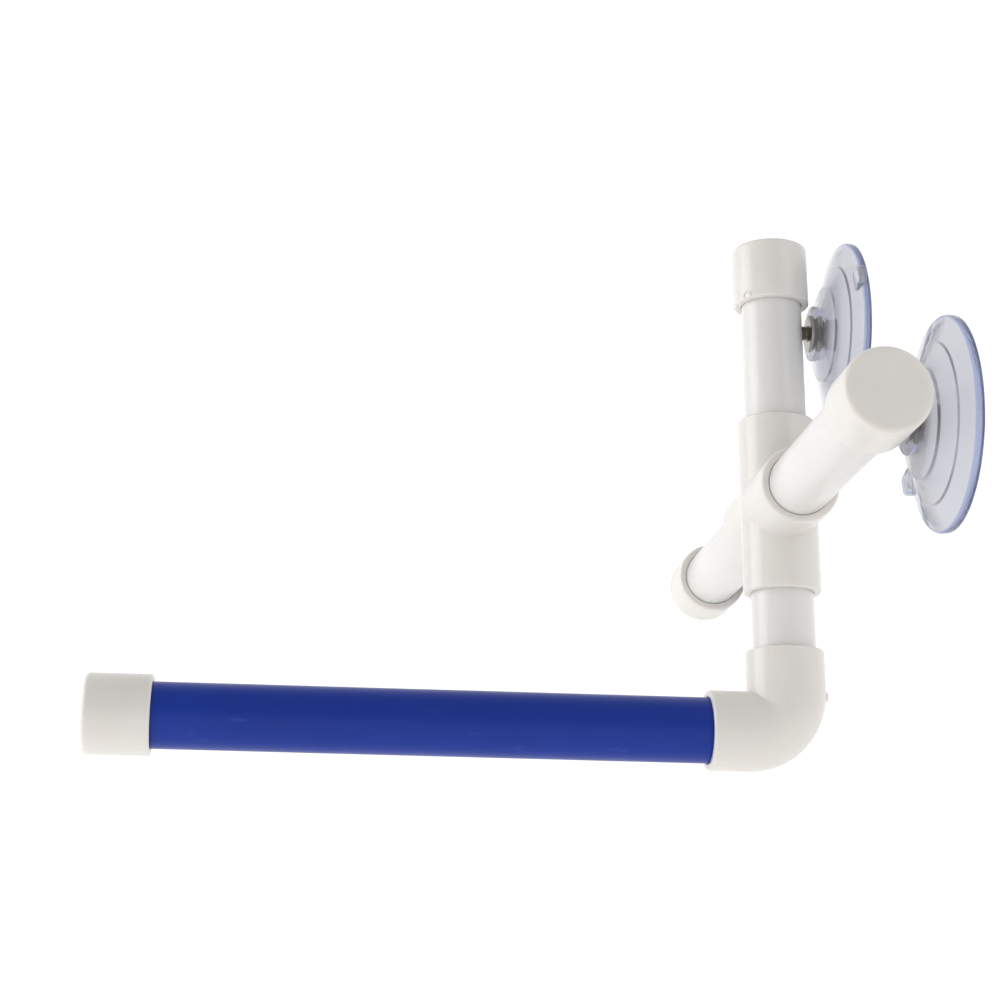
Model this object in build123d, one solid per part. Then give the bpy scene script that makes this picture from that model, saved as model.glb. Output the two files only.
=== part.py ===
from build123d import *
import math
import os

# Suction cup bird perch: a push-fit pipe frame that three suction cups hold to a wall or a pane.
# Millimetres. The wall is the plane y = 0, the part stands off it towards -Y and +Z is up.
# The origin lies on the wall, behind the middle of the cross fitting.

# Pipes
pipe_od = 20.0
pipe_wall = 2.0
pipe_gap = 0.05            # radial running fit of a pipe in a socket
pipe_end_gap = 0.3         # a pipe's end stops this far short of the shoulder

# Moulded fittings
fitting_od = 25.0
socket_depth = 14.5
mouth_chamfer = 0.5        # bevel round the outside of each mouth
leadin_depth = 1.2         # cone that guides the pipe into the mouth
leadin_flare = 0.6
cross_reach = 29.0         # cross centre to each of its mouths
elbow_leg = 25.7           # elbow centre to each of its mouths
elbow_bend_gap = 0.3       # keeps the inside of the bend from closing on itself

# End caps
cap_length = 20.8
cap_end_wall = 2.8
cap_edge_round = 1.6
cap_inner_round = 1.0

# Bare lengths of pipe between the fittings
upper_pipe_shown = 40.6
arm_pipe_shown = 76.6
lower_pipe_shown = 18.8
perch_pipe_shown = 173.8

# Blue sleeve on the perch
sleeve_wall = 0.25
sleeve_gap = 0.03
sleeve_tuck = 0.45         # how far each end goes into the mouth beside it
sleeve_roll = 0.5          # length of the thickened, shrunk edge at each end
sleeve_roll_height = 0.12

# Suction cups, with heights measured from the wall
wall_gap = 25.5            # wall to the axes of the upright and the arms
cup_radius = 31.0
rim_land = 1.6             # width of the flat sealing lip
rim_thick = 2.3
rim_round = 0.8
outer_step_radius = 23.4
outer_step_height = 5.1
inner_step_radius = 16.4
inner_step_height = 8.3
step_drop = 0.75
neck_radius = 7.6
neck_height = 9.9
flange_radius = 9.4
flange_thick = 1.9
flange_round = 0.5
cup_face_height = 12.25
hollow_depth = 6.0
cup_inboard = 8.9          # cup centre inboard of the cap's mouth
tab_reach = 2.6            # how far the release tab stands out of the rim
tab_root = 3.6             # and how far it runs in over the cone
tab_width = 6.8
tab_corner = 1.8
tab_height = 1.5           # its underside, clear of the sealing lip
tab_thick = 2.8
tab_angles = {"top": 19.0, "left": 108.0, "right": 198.0}

# Fasteners of each cup
screw_radius = 2.5
screw_head_radius = 5.2
screw_head_thick = 2.2
screw_head_depth = 2.6     # plastic between the head and the neck's face
screw_tip_gap = 2.0        # tip short of the pipe's axis
screw_tip_chamfer = 0.6
insert_gap = 0.02          # the neck is moulded round the screw's head
washer_radius = 6.2
washer_thick = 1.0
washer_gap = 0.15          # radial, washer on the screw
face_gap = 0.05            # between stacked flat faces that turn on each other
nut_flats = 8.0
nut_thick = 4.0
nut_gap = 0.05
nut_chamfer = 0.5
nut_seat_gap = 0.05
screw_hole_gap = 0.3       # radial, screw in the pipe's rear wall

pipe_radius = pipe_od / 2
bore_radius = pipe_radius - pipe_wall
fitting_radius = fitting_od / 2
socket_radius = pipe_radius + pipe_gap
shoulder = cross_reach - socket_depth
elbow_shoulder = elbow_leg - socket_depth
bend_radius = fitting_radius + elbow_bend_gap
upper_mouth = cross_reach + upper_pipe_shown
arm_mouth = cross_reach + arm_pipe_shown
perch_drop = cross_reach + lower_pipe_shown + elbow_leg
perch_mouth = elbow_leg + perch_pipe_shown
cap_socket = cap_length - cap_end_wall
cup_on_upright = upper_mouth - cup_inboard
cup_on_arm = arm_mouth - cup_inboard

back = Vector(0, 1, 0)
front = Vector(0, -1, 0)
up = Vector(0, 0, 1)
down = Vector(0, 0, -1)
right = Vector(1, 0, 0)
left = Vector(-1, 0, 0)
centre = Vector(0, -wall_gap, 0)
elbow_centre = centre + down * perch_drop


def placed(shape, origin, direction):
    """Put a shape made along +Z so that its axis runs along direction from origin."""
    x_direction = right if abs(direction.X) < 0.5 else up
    return Plane(origin=origin, x_dir=x_direction, z_dir=direction) * shape


def rod(radius, start, end):
    """A solid cylinder along +Z between two heights."""
    return Pos(0, 0, start) * Cylinder(radius, end - start, align=(Align.CENTER, Align.CENTER, Align.MIN))


def turned(points):
    """Revolve a closed outline of (radius, height) points about Z."""
    outline = Polyline(*[(r, 0, z) for r, z in points], close=True)
    return revolve(make_face(outline), Axis.Z)


def socket_void(reach, depth):
    """The hollow of a socket whose mouth is at height reach, with its lead-in cone."""
    return turned([
        (0, reach - depth),
        (socket_radius, reach - depth),
        (socket_radius, reach - leadin_depth),
        (socket_radius + leadin_flare, reach),
        (0, reach),
    ])


def socket_arm(start, reach):
    """The outside of one socket, from height start to its bevelled mouth at reach."""
    return turned([
        (0, start),
        (fitting_radius, start),
        (fitting_radius, reach - mouth_chamfer),
        (fitting_radius - mouth_chamfer, reach),
        (0, reach),
    ])


def cross_fitting():
    """Four sockets in one plane, bored through to the shoulders."""
    directions = [up, down, left, right]
    body = placed(socket_arm(0, cross_reach), centre, up)
    for direction in directions[1:]:
        body += placed(socket_arm(0, cross_reach), centre, direction)
    for direction in directions:
        body -= placed(socket_void(cross_reach, socket_depth), centre, direction)
    for direction in (down, left):
        body -= placed(rod(bore_radius, -shoulder, shoulder), centre, direction)
    return body


def bend(radius):
    """A quarter ring in the YZ plane that joins an upward leg to a forward leg."""
    start = elbow_centre + up * bend_radius
    axis = Axis(start + front * bend_radius, (-1, 0, 0))
    section = Plane(origin=start, z_dir=(0, 0, 1)) * Circle(radius)
    return revolve(section, axis, 90)


def elbow_fitting():
    """A tight 90 degree elbow: round heel, crisp inner corner, one socket up and one forward."""
    body = bend(fitting_radius)
    for direction in (up, front):
        body += placed(socket_arm(bend_radius, elbow_leg), elbow_centre, direction)
    for direction in (up, front):
        body -= placed(socket_void(elbow_leg, socket_depth), elbow_centre, direction)
        body -= placed(rod(bore_radius, bend_radius, elbow_leg), elbow_centre, direction)
    return body - bend(bore_radius)


def cap():
    """An end cap along +Z: mouth at height 0, rounded closed end at cap_length."""
    corner = cap_length - cap_edge_round
    roof = cap_socket - cap_inner_round
    outline = Polyline(
        (socket_radius + leadin_flare, 0, 0),
        (fitting_radius - mouth_chamfer, 0, 0),
        (fitting_radius, 0, mouth_chamfer),
        (fitting_radius, 0, corner),
    )
    outer_arc = ThreePointArc(
        (fitting_radius, 0, corner),
        (fitting_radius - cap_edge_round * (1 - math.sqrt(0.5)), 0, corner + cap_edge_round * math.sqrt(0.5)),
        (fitting_radius - cap_edge_round, 0, cap_length),
    )
    end_face = Polyline(
        (fitting_radius - cap_edge_round, 0, cap_length),
        (0, 0, cap_length),
        (0, 0, cap_socket),
        (socket_radius - cap_inner_round, 0, cap_socket),
    )
    inner_arc = ThreePointArc(
        (socket_radius - cap_inner_round, 0, cap_socket),
        (socket_radius - cap_inner_round * (1 - math.sqrt(0.5)), 0, roof + cap_inner_round * math.sqrt(0.5)),
        (socket_radius, 0, roof),
    )
    socket_side = Polyline(
        (socket_radius, 0, roof),
        (socket_radius, 0, leadin_depth),
        (socket_radius + leadin_flare, 0, 0),
    )
    profile = make_face([*outline.edges(), *outer_arc.edges(), *end_face.edges(), *inner_arc.edges(),
                         *socket_side.edges()])
    return revolve(profile, Axis.Z)


def pipe(start, end):
    """A pipe along +Z between two heights."""
    return rod(pipe_radius, start, end) - rod(bore_radius, start, end)


def pipe_end_in_cap(mouth):
    """Height of a pipe's end inside a cap, short of the round in the cap's corner."""
    return mouth + cap_socket - cap_inner_round - pipe_end_gap


def cupped_pipe(direction, mouth, cup_height):
    """A pipe from the cross into its cap, with the screw's hole through its rear wall."""
    body = placed(pipe(shoulder + pipe_end_gap, pipe_end_in_cap(mouth)), centre, direction)
    hole = rod(screw_radius + screw_hole_gap, 0, wall_gap)
    return body - placed(hole, centre + direction * cup_height, back)


def lower_pipe():
    """The short pipe from the cross down into the elbow."""
    start = shoulder + pipe_end_gap
    end = perch_drop - elbow_shoulder - pipe_end_gap
    return placed(pipe(start, end), centre, down)


def perch_pipe():
    """The long pipe from the elbow forward into its cap."""
    start = elbow_shoulder + pipe_end_gap
    return placed(pipe(start, pipe_end_in_cap(perch_mouth)), elbow_centre, front)


def perch_sleeve():
    """Thin shrunk sleeve over the bare length, its ends rolled and tucked into the mouths."""
    inner = pipe_radius + sleeve_gap
    outer = inner + sleeve_wall
    start = elbow_leg - sleeve_tuck
    end = perch_mouth + sleeve_tuck
    thick = outer + sleeve_roll_height
    near_roll = elbow_leg + sleeve_roll
    far_roll = perch_mouth - sleeve_roll
    sleeve = turned([
        (inner, start),
        (outer, start),
        (outer, elbow_leg),
        (thick, elbow_leg + sleeve_roll / 2),
        (outer, near_roll),
        (outer, far_roll),
        (thick, perch_mouth - sleeve_roll / 2),
        (outer, perch_mouth),
        (outer, end),
        (inner, end),
    ])
    return placed(sleeve, elbow_centre, front)


def cup_body():
    """A suction cup along +Z: sealing lip at height 0, stepped cone, neck and flange."""
    head_top = cup_face_height - screw_head_depth
    head_bottom = head_top - screw_head_thick
    hollow_radius = cup_radius - rim_land
    dome_radius = (hollow_radius ** 2 + hollow_depth ** 2) / (2 * hollow_depth)
    middle = hollow_radius / 2
    flange_low = cup_face_height - flange_thick
    outside = Polyline(
        (hollow_radius, 0, 0),
        (cup_radius - rim_round / 2, 0, 0),
        (cup_radius, 0, rim_round / 2),
        (cup_radius, 0, rim_thick - rim_round),
        (cup_radius - rim_round, 0, rim_thick),
        (outer_step_radius, 0, outer_step_height - step_drop),
        (outer_step_radius - step_drop / 3, 0, outer_step_height),
        (inner_step_radius, 0, inner_step_height - step_drop),
        (inner_step_radius - step_drop / 3, 0, inner_step_height),
        (neck_radius, 0, neck_height),
        (neck_radius, 0, flange_low),
        (flange_radius - flange_round, 0, flange_low),
        (flange_radius, 0, flange_low + flange_round),
        (flange_radius, 0, cup_face_height - flange_round),
        (flange_radius - flange_round, 0, cup_face_height),
        (screw_radius + insert_gap, 0, cup_face_height),
        (screw_radius + insert_gap, 0, head_top + insert_gap),
        (screw_head_radius + insert_gap, 0, head_top + insert_gap),
        (screw_head_radius + insert_gap, 0, head_bottom - insert_gap),
        (0, 0, head_bottom - insert_gap),
        (0, 0, hollow_depth),
    )
    crown = ThreePointArc(
        (0, 0, hollow_depth),
        (middle, 0, hollow_depth - dome_radius + math.sqrt(dome_radius ** 2 - middle ** 2)),
        (hollow_radius, 0, 0),
    )
    profile = make_face([*outside.edges(), *crown.edges()])
    return revolve(profile, Axis.Z)


def release_tab(angle):
    """A rounded tongue on the rim, to lift the lip and let the air in."""
    length = tab_root + tab_reach
    middle = cup_radius + (tab_reach - tab_root) / 2
    outline = Pos(middle, 0, tab_height) * RectangleRounded(length, tab_width, tab_corner)
    return Rot(0, 0, angle) * extrude(outline, tab_thick)


def suction_cup(angle):
    return cup_body() + release_tab(angle)


def cup_screw():
    """The screw moulded into the neck: flat head below, shank out through the washer and nut."""
    head_top = cup_face_height - screw_head_depth
    tip = wall_gap - screw_tip_gap
    return turned([
        (0, head_top - screw_head_thick),
        (screw_head_radius, head_top - screw_head_thick),
        (screw_head_radius, head_top),
        (screw_radius, head_top),
        (screw_radius, tip - screw_tip_chamfer),
        (screw_radius - screw_tip_chamfer, tip),
        (0, tip),
    ])


def washer():
    """A flat washer that lies on the neck's face."""
    low = cup_face_height + face_gap
    hole = screw_radius + washer_gap
    return rod(washer_radius, low, low + washer_thick) - rod(hole, low, low + washer_thick)


def nut():
    """A hexagon nut inside the pipe, seated on two of its edges against the bore."""
    seat = math.sqrt(bore_radius ** 2 - (nut_flats / 2) ** 2) - nut_seat_gap
    low = wall_gap - seat
    corner_radius = nut_flats / math.sqrt(3)
    blank = extrude(RegularPolygon(corner_radius, 6), nut_thick)
    chamfers = turned([
        (0, 0),
        (corner_radius - nut_chamfer, 0),
        (corner_radius, nut_chamfer * 0.6),
        (corner_radius, nut_thick - nut_chamfer * 0.6),
        (corner_radius - nut_chamfer, nut_thick),
        (0, nut_thick),
    ])
    body = (blank & chamfers) - rod(screw_radius + nut_gap, 0, nut_thick)
    return Pos(0, 0, low) * body


def on_wall(shape, along, distance, along_pipe):
    """Put a cup's part, made along +Z from the wall, at a distance along one of the pipes."""
    return Plane(origin=along * distance, x_dir=along_pipe, z_dir=front) * shape


def write(name, shape):
    export_step(shape, f"parts/{name}.step")


os.makedirs("parts", exist_ok=True)

write("cross_fitting", cross_fitting())
write("lower_pipe", lower_pipe())
write("elbow_fitting", elbow_fitting())
write("perch_pipe", perch_pipe())
write("perch_sleeve", perch_sleeve())
write("perch_cap", placed(cap(), elbow_centre + front * perch_mouth, front))

for side, direction, mouth, cup_height in (
    ("top", up, upper_mouth, cup_on_upright),
    ("left", left, arm_mouth, cup_on_arm),
    ("right", right, arm_mouth, cup_on_arm),
):
    pipe_name = "upper_pipe" if side == "top" else f"{side}_arm_pipe"
    write(pipe_name, cupped_pipe(direction, mouth, cup_height))
    write(f"{side}_cap", placed(cap(), centre + direction * mouth, direction))
    write(f"{side}_cup", on_wall(suction_cup(tab_angles[side]), direction, cup_height, right))
    write(f"{side}_screw", on_wall(cup_screw(), direction, cup_height, right))
    write(f"{side}_washer", on_wall(washer(), direction, cup_height, right))
    write(f"{side}_nut", on_wall(nut(), direction, cup_height, direction))
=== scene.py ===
import math

import bmesh
import bpy
import numpy as np
from mathutils import Matrix, Vector


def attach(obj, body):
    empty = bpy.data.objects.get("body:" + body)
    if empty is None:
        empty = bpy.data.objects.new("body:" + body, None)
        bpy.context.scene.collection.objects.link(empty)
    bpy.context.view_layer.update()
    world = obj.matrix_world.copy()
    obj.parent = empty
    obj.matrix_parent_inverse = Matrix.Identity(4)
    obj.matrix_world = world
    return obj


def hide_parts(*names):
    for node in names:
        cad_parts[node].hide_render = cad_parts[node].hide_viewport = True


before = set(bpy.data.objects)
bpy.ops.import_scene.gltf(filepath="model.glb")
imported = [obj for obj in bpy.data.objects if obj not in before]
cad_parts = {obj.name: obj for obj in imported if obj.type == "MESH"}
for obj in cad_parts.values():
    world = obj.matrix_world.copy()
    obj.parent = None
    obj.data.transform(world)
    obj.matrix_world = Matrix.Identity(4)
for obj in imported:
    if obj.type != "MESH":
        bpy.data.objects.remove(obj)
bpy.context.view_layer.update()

# Suction cup bird perch: white push-fit pipework, a blue sleeve on the perch and three clear cups.
# Sizes in the settings are millimetres. The wall is the plane y = 0, and z is up.

scene = bpy.context.scene
mm = 0.001
joinWithin = 0.0004   # points nearer than this are one point
wallGap = 25.5        # wall to the axes of the upright and the arms
perchDrop = 73.5      # cross centre down to the elbow's centre
pipeRadius = 10.0
boreRadius = 8.0
fittingRadius = 12.5
socketRadius = 10.05
upperMouth = 69.6     # cross centre to the mouth of the top cap
armMouth = 105.6
perchMouth = 199.5    # elbow centre to the mouth of the perch's cap
cupInboard = 8.9      # cup centre inboard of the cap's mouth
crossCentre = (0, -wallGap, 0)
elbowCentre = (0, -wallGap, -perchDrop)
print("frame loaded")


def addNode(tree, kind, inputs=None, **settings):
    # one node with its settings; an input is either a value or the socket that feeds it
    node = tree.nodes.new(kind)
    for key, value in settings.items():
        setattr(node, key, value)
    for key, value in (inputs or {}).items():
        if isinstance(value, bpy.types.NodeSocket):
            tree.links.new(value, node.inputs[key])
        else:
            node.inputs[key].default_value = value
    return node


def linear(code):
    # an sRGB hex colour as the linear one that Blender works in
    parts = [int(code[i:i + 2], 16) / 255 for i in (1, 3, 5)]
    return tuple(c / 12.92 if c <= 0.04045 else ((c + 0.055) / 1.055) ** 2.4 for c in parts) + (1.0,)


def placeAlong(origin, along, across):
    # the place of a piece whose own z points along, and whose own x points across; its mesh is in millimetres
    z = Vector(along).normalized()
    x = Vector(across).normalized()
    turn = Matrix((x, z.cross(x), z)).transposed().to_4x4()
    return Matrix.Translation(Vector(origin) * mm) @ turn @ Matrix.Scale(mm, 4)


def roundedOutline(corners, closed=True, steps=5):
    # corners are (radius, height, rounding); a rounding of 0 keeps the corner sharp
    points = []
    count = len(corners)
    for i, (r, h, rounding) in enumerate(corners):
        here = np.array((r, h), float)
        if rounding <= 0 or (not closed and i in (0, count - 1)):
            points.append(here)
            continue
        before = np.array(corners[i - 1][:2]) - here
        after = np.array(corners[(i + 1) % count][:2]) - here
        lengthBefore, lengthAfter = np.linalg.norm(before), np.linalg.norm(after)
        before, after = before / lengthBefore, after / lengthAfter
        half = math.acos(np.clip(before @ after, -1, 1)) / 2
        reach = min(rounding / math.tan(half), 0.48 * lengthBefore, 0.48 * lengthAfter)
        radius = reach * math.tan(half)
        middle = (before + after) / np.linalg.norm(before + after) * radius / math.sin(half) + here
        first = here + before * reach - middle
        last = here + after * reach - middle
        startAngle = math.atan2(first[1], first[0])
        sweep = math.atan2(first[0] * last[1] - first[1] * last[0], first @ last)
        for s in range(steps + 1):
            angle = startAngle + sweep * s / steps
            points.append(middle + radius * np.array((math.cos(angle), math.sin(angle))))
    return np.array(points)


def turnedRings(outline, sides):
    # one ring of points for each point of the outline, turned about local z
    angle = np.arange(sides) * 2 * math.pi / sides
    r, h = outline[:, 0, None], outline[:, 1, None]
    heights = np.broadcast_to(h, (len(outline), sides))
    return np.stack((r * np.cos(angle), r * np.sin(angle), heights), axis=-1)


def ringFaces(rows, sides, closeRows):
    # four-sided faces between neighbouring rings, and from the last ring back to the first if asked
    faces = []
    for i in range(rows if closeRows else rows - 1):
        a, b = i * sides, (i + 1) % rows * sides
        for k in range(sides):
            n = (k + 1) % sides
            faces.append((a + k, a + n, b + n, b + k))
    return faces


def weldMesh(mesh, within, outward=True):
    # joins points that lie together, drops the faces that vanish, and turns the faces outwards
    work = bmesh.new()
    work.from_mesh(mesh)
    bmesh.ops.remove_doubles(work, verts=work.verts, dist=within)
    bmesh.ops.dissolve_degenerate(work, edges=work.edges, dist=within)
    if outward:
        bmesh.ops.recalc_face_normals(work, faces=work.faces)
    work.to_mesh(mesh)
    work.free()


def meshFrom(name, shells, place, sharpAngle=40):
    # shells are (points in local millimetres, faces); "grain" keeps the local place for the finishes
    mesh = bpy.data.meshes.new(name)
    points, faces = [], []
    for shellPoints, shellFaces in shells:
        start = sum(len(p) for p in points)
        points.append(np.asarray(shellPoints, float).reshape(-1, 3))
        faces += [tuple(start + i for i in face) for face in shellFaces]
    mesh.from_pydata(np.concatenate(points).tolist(), [], faces)
    weldMesh(mesh, joinWithin)
    keepGrain(mesh, 1.0)
    mesh.transform(place)
    if place.determinant() < 0:
        mesh.flip_normals()
    smoothMesh(mesh, sharpAngle)
    return mesh


def keepGrain(mesh, scale):
    # stores each point's own place in millimetres, which the finishes read
    co = np.zeros(len(mesh.vertices) * 3, np.float32)
    mesh.vertices.foreach_get("co", co)
    layer = mesh.attributes.get("grain") or mesh.attributes.new("grain", "FLOAT_VECTOR", "POINT")
    layer.data.foreach_set("vector", co * scale)


def smoothMesh(mesh, sharpAngle):
    mesh.polygons.foreach_set("use_smooth", [True] * len(mesh.polygons))
    mesh.set_sharp_from_angle(angle=math.radians(sharpAngle))
    mesh.update()


def addPiece(name, mesh, body, node, finish):
    piece = bpy.data.objects.new(name, mesh)
    scene.collection.objects.link(piece)
    mesh.materials.clear()
    mesh.materials.append(finish)
    if node:
        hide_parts(node)
    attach(piece, body)
    return piece


def booleanMesh(mesh, other, operation):
    carrier = bpy.data.objects.new("work", mesh)
    cutter = bpy.data.objects.new("cutter", other)
    for item in (carrier, cutter):
        scene.collection.objects.link(item)
    step = carrier.modifiers.new("cut", "BOOLEAN")
    step.operation = operation
    step.solver = "EXACT"
    step.object = cutter
    bpy.context.view_layer.update()
    result = bpy.data.meshes.new_from_object(carrier.evaluated_get(bpy.context.evaluated_depsgraph_get()))
    for item in (carrier, cutter):
        bpy.data.objects.remove(item)
    return result


def grownMesh(tree, values, name):
    # grows a mesh with a node tree whose inputs are given by name, and leaves no modifier behind
    carrier = bpy.data.objects.new(name, bpy.data.meshes.new(name))
    scene.collection.objects.link(carrier)
    step = carrier.modifiers.new("grow", "NODES")
    step.node_group = tree
    for item in tree.interface.items_tree:
        if item.in_out == "INPUT" and item.name in values:
            step[item.identifier] = values[item.name]
    bpy.context.view_layer.update()
    mesh = bpy.data.meshes.new_from_object(carrier.evaluated_get(bpy.context.evaluated_depsgraph_get()))
    carrier.modifiers.remove(step)
    bpy.data.objects.remove(carrier)
    return mesh


# The finishes read "grain", the piece's own place in millimetres, so that no pattern slides when a joint moves.
def newFinish(name):
    finish = bpy.data.materials.new(name)
    finish.use_nodes = True
    finish.node_tree.nodes.clear()
    return finish, finish.node_tree


def closeFinish(tree, shader, volume=None):
    out = addNode(tree, "ShaderNodeOutputMaterial", {"Surface": shader.outputs[0]})
    if volume:
        tree.links.new(volume.outputs[0], out.inputs["Volume"])


def makeMouldedPvc():
    # PVC-U pressed into a polished steel mould: warm off-white and satin, with faint cloudy flow marks about 9 mm
    # across, a trace of orange peel at 0.9 mm, and rare grey specks of 0.1 to 0.2 mm
    look = {"light": "#e6e3de", "shade": "#e0dcd7", "speck": "#a09c93", "flowMm": 9.0, "peelMm": 0.9,
            "speckMm": 5.0, "speckCore": 0.018, "speckEdge": 0.036, "roughness": 0.24}
    finish, tree = newFinish("mouldedPvc")
    grain = addNode(tree, "ShaderNodeAttribute", attribute_name="grain").outputs["Vector"]
    flow = addNode(tree, "ShaderNodeTexNoise", {"Vector": grain, "Scale": 1 / look["flowMm"], "Detail": 3.0})
    tone = addNode(tree, "ShaderNodeMix", {"Factor": flow.outputs[0], "A": linear(look["shade"]),
                                          "B": linear(look["light"])}, data_type="RGBA")
    dots = addNode(tree, "ShaderNodeTexVoronoi", {"Vector": grain, "Scale": 1 / look["speckMm"]})
    spot = addNode(tree, "ShaderNodeMapRange", {
        "Value": dots.outputs["Distance"], "From Min": look["speckCore"], "From Max": look["speckEdge"],
        "To Min": 0.7, "To Max": 0.0})
    colour = addNode(tree, "ShaderNodeMix", {"Factor": spot.outputs[0], "A": tone.outputs["Result"],
                                            "B": linear(look["speck"])}, data_type="RGBA")
    peel = addNode(tree, "ShaderNodeTexNoise", {"Vector": grain, "Scale": 1 / look["peelMm"], "Detail": 2.0})
    bump = addNode(tree, "ShaderNodeBump", {"Height": peel.outputs[0], "Strength": 0.12, "Distance": 0.00012})
    gloss = addNode(tree, "ShaderNodeMapRange", {"Value": flow.outputs[0], "To Min": look["roughness"] - 0.05,
                                                 "To Max": look["roughness"] + 0.06})
    shader = addNode(tree, "ShaderNodeBsdfPrincipled", {
        "Base Color": colour.outputs["Result"], "Roughness": gloss.outputs[0], "IOR": 1.53,
        "Normal": bump.outputs[0], "Subsurface Weight": 0.25, "Subsurface Radius": (1.0, 0.7, 0.5),
        "Subsurface Scale": 0.003})
    closeFinish(tree, shader)
    return finish


def makeExtrudedPvc():
    # PVC-U drawn through a die: a cooler white than the fittings, whose gloss varies a little in lines along the
    # pipe. The real lines are finer and are drawn 1.6 mm apart so that they show.
    look = {"light": "#e7e5e3", "shade": "#e1dfdc", "lineMm": 1.6, "lineLengthMm": 90.0, "toneMm": 14.0,
            "speck": "#aaa69f", "speckMm": 5.5, "speckCore": 0.012, "speckEdge": 0.03, "roughness": 0.26}
    finish, tree = newFinish("extrudedPvc")
    grain = addNode(tree, "ShaderNodeAttribute", attribute_name="grain").outputs["Vector"]
    drawn = addNode(tree, "ShaderNodeMapping", {"Vector": grain, "Scale": (
        1 / look["lineMm"], 1 / look["lineMm"], 1 / look["lineLengthMm"])})
    lines = addNode(tree, "ShaderNodeTexNoise", {"Vector": drawn.outputs[0], "Scale": 1.0, "Detail": 2.0})
    cloud = addNode(tree, "ShaderNodeTexNoise", {"Vector": grain, "Scale": 1 / look["toneMm"], "Detail": 3.0})
    tone = addNode(tree, "ShaderNodeMix", {"Factor": cloud.outputs[0], "A": linear(look["shade"]),
                                          "B": linear(look["light"])}, data_type="RGBA")
    dots = addNode(tree, "ShaderNodeTexVoronoi", {"Vector": grain, "Scale": 1 / look["speckMm"]})
    spot = addNode(tree, "ShaderNodeMapRange", {
        "Value": dots.outputs["Distance"], "From Min": look["speckCore"], "From Max": look["speckEdge"],
        "To Min": 0.6, "To Max": 0.0})
    colour = addNode(tree, "ShaderNodeMix", {"Factor": spot.outputs[0], "A": tone.outputs["Result"],
                                            "B": linear(look["speck"])}, data_type="RGBA")
    bump = addNode(tree, "ShaderNodeBump", {
        "Height": lines.outputs[0], "Strength": 0.05, "Distance": 0.00004})
    gloss = addNode(tree, "ShaderNodeMapRange", {
        "Value": lines.outputs[0], "To Min": look["roughness"] - 0.03, "To Max": look["roughness"] + 0.03})
    shader = addNode(tree, "ShaderNodeBsdfPrincipled", {
        "Base Color": colour.outputs["Result"], "Roughness": gloss.outputs[0], "IOR": 1.53,
        "Normal": bump.outputs[0], "Subsurface Weight": 0.25, "Subsurface Radius": (1.0, 0.8, 0.65),
        "Subsurface Scale": 0.003})
    closeFinish(tree, shader)
    return finish


def makeShrunkPvcSleeve():
    # PVC film shrunk on by heat: deep blue and semi-matte, with stretch lines 0.8 mm apart along the bar and a few
    # paler rubbed places some 3 mm wide
    look = {"deep": "#0c2d8a", "light": "#11369c", "rubbed": "#3f62bc", "stretchMm": 0.8,
            "stretchLengthMm": 60.0, "cloudMm": 22.0, "scuffMm": 3.2, "rubbedFrom": 0.66, "rubbedTo": 0.8,
            "roughness": 0.32}
    finish, tree = newFinish("shrunkPvcSleeve")
    grain = addNode(tree, "ShaderNodeAttribute", attribute_name="grain").outputs["Vector"]
    drawn = addNode(tree, "ShaderNodeMapping", {"Vector": grain, "Scale": (
        1 / look["stretchMm"], 1 / look["stretchMm"], 1 / look["stretchLengthMm"])})
    lines = addNode(tree, "ShaderNodeTexNoise", {"Vector": drawn.outputs[0], "Scale": 1.0, "Detail": 3.0})
    cloud = addNode(tree, "ShaderNodeTexNoise", {
        "Vector": grain, "Scale": 1 / look["cloudMm"], "Detail": 3.0})
    tone = addNode(tree, "ShaderNodeMix", {"Factor": cloud.outputs[0], "A": linear(look["deep"]),
                                          "B": linear(look["light"])}, data_type="RGBA")
    scuff = addNode(tree, "ShaderNodeMapping", {"Vector": grain, "Scale": (
        1 / look["scuffMm"], 1 / look["scuffMm"], 0.25 / look["scuffMm"])})
    marks = addNode(tree, "ShaderNodeTexNoise", {"Vector": scuff.outputs[0], "Scale": 1.0, "Detail": 4.0})
    rubbed = addNode(tree, "ShaderNodeMapRange", {
        "Value": marks.outputs[0], "From Min": look["rubbedFrom"], "From Max": look["rubbedTo"],
        "To Min": 0.0, "To Max": 0.35})
    colour = addNode(tree, "ShaderNodeMix", {"Factor": rubbed.outputs[0], "A": tone.outputs["Result"],
                                            "B": linear(look["rubbed"])}, data_type="RGBA")
    bump = addNode(tree, "ShaderNodeBump", {"Height": lines.outputs[0], "Strength": 0.15, "Distance": 0.0001})
    gloss = addNode(tree, "ShaderNodeMapRange", {
        "Value": marks.outputs[0], "To Min": look["roughness"] - 0.06, "To Max": look["roughness"] + 0.1})
    shader = addNode(tree, "ShaderNodeBsdfPrincipled", {
        "Base Color": colour.outputs["Result"], "Roughness": gloss.outputs[0], "IOR": 1.53,
        "Specular IOR Level": 0.22, "Normal": bump.outputs[0]})
    closeFinish(tree, shader)
    return finish


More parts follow.
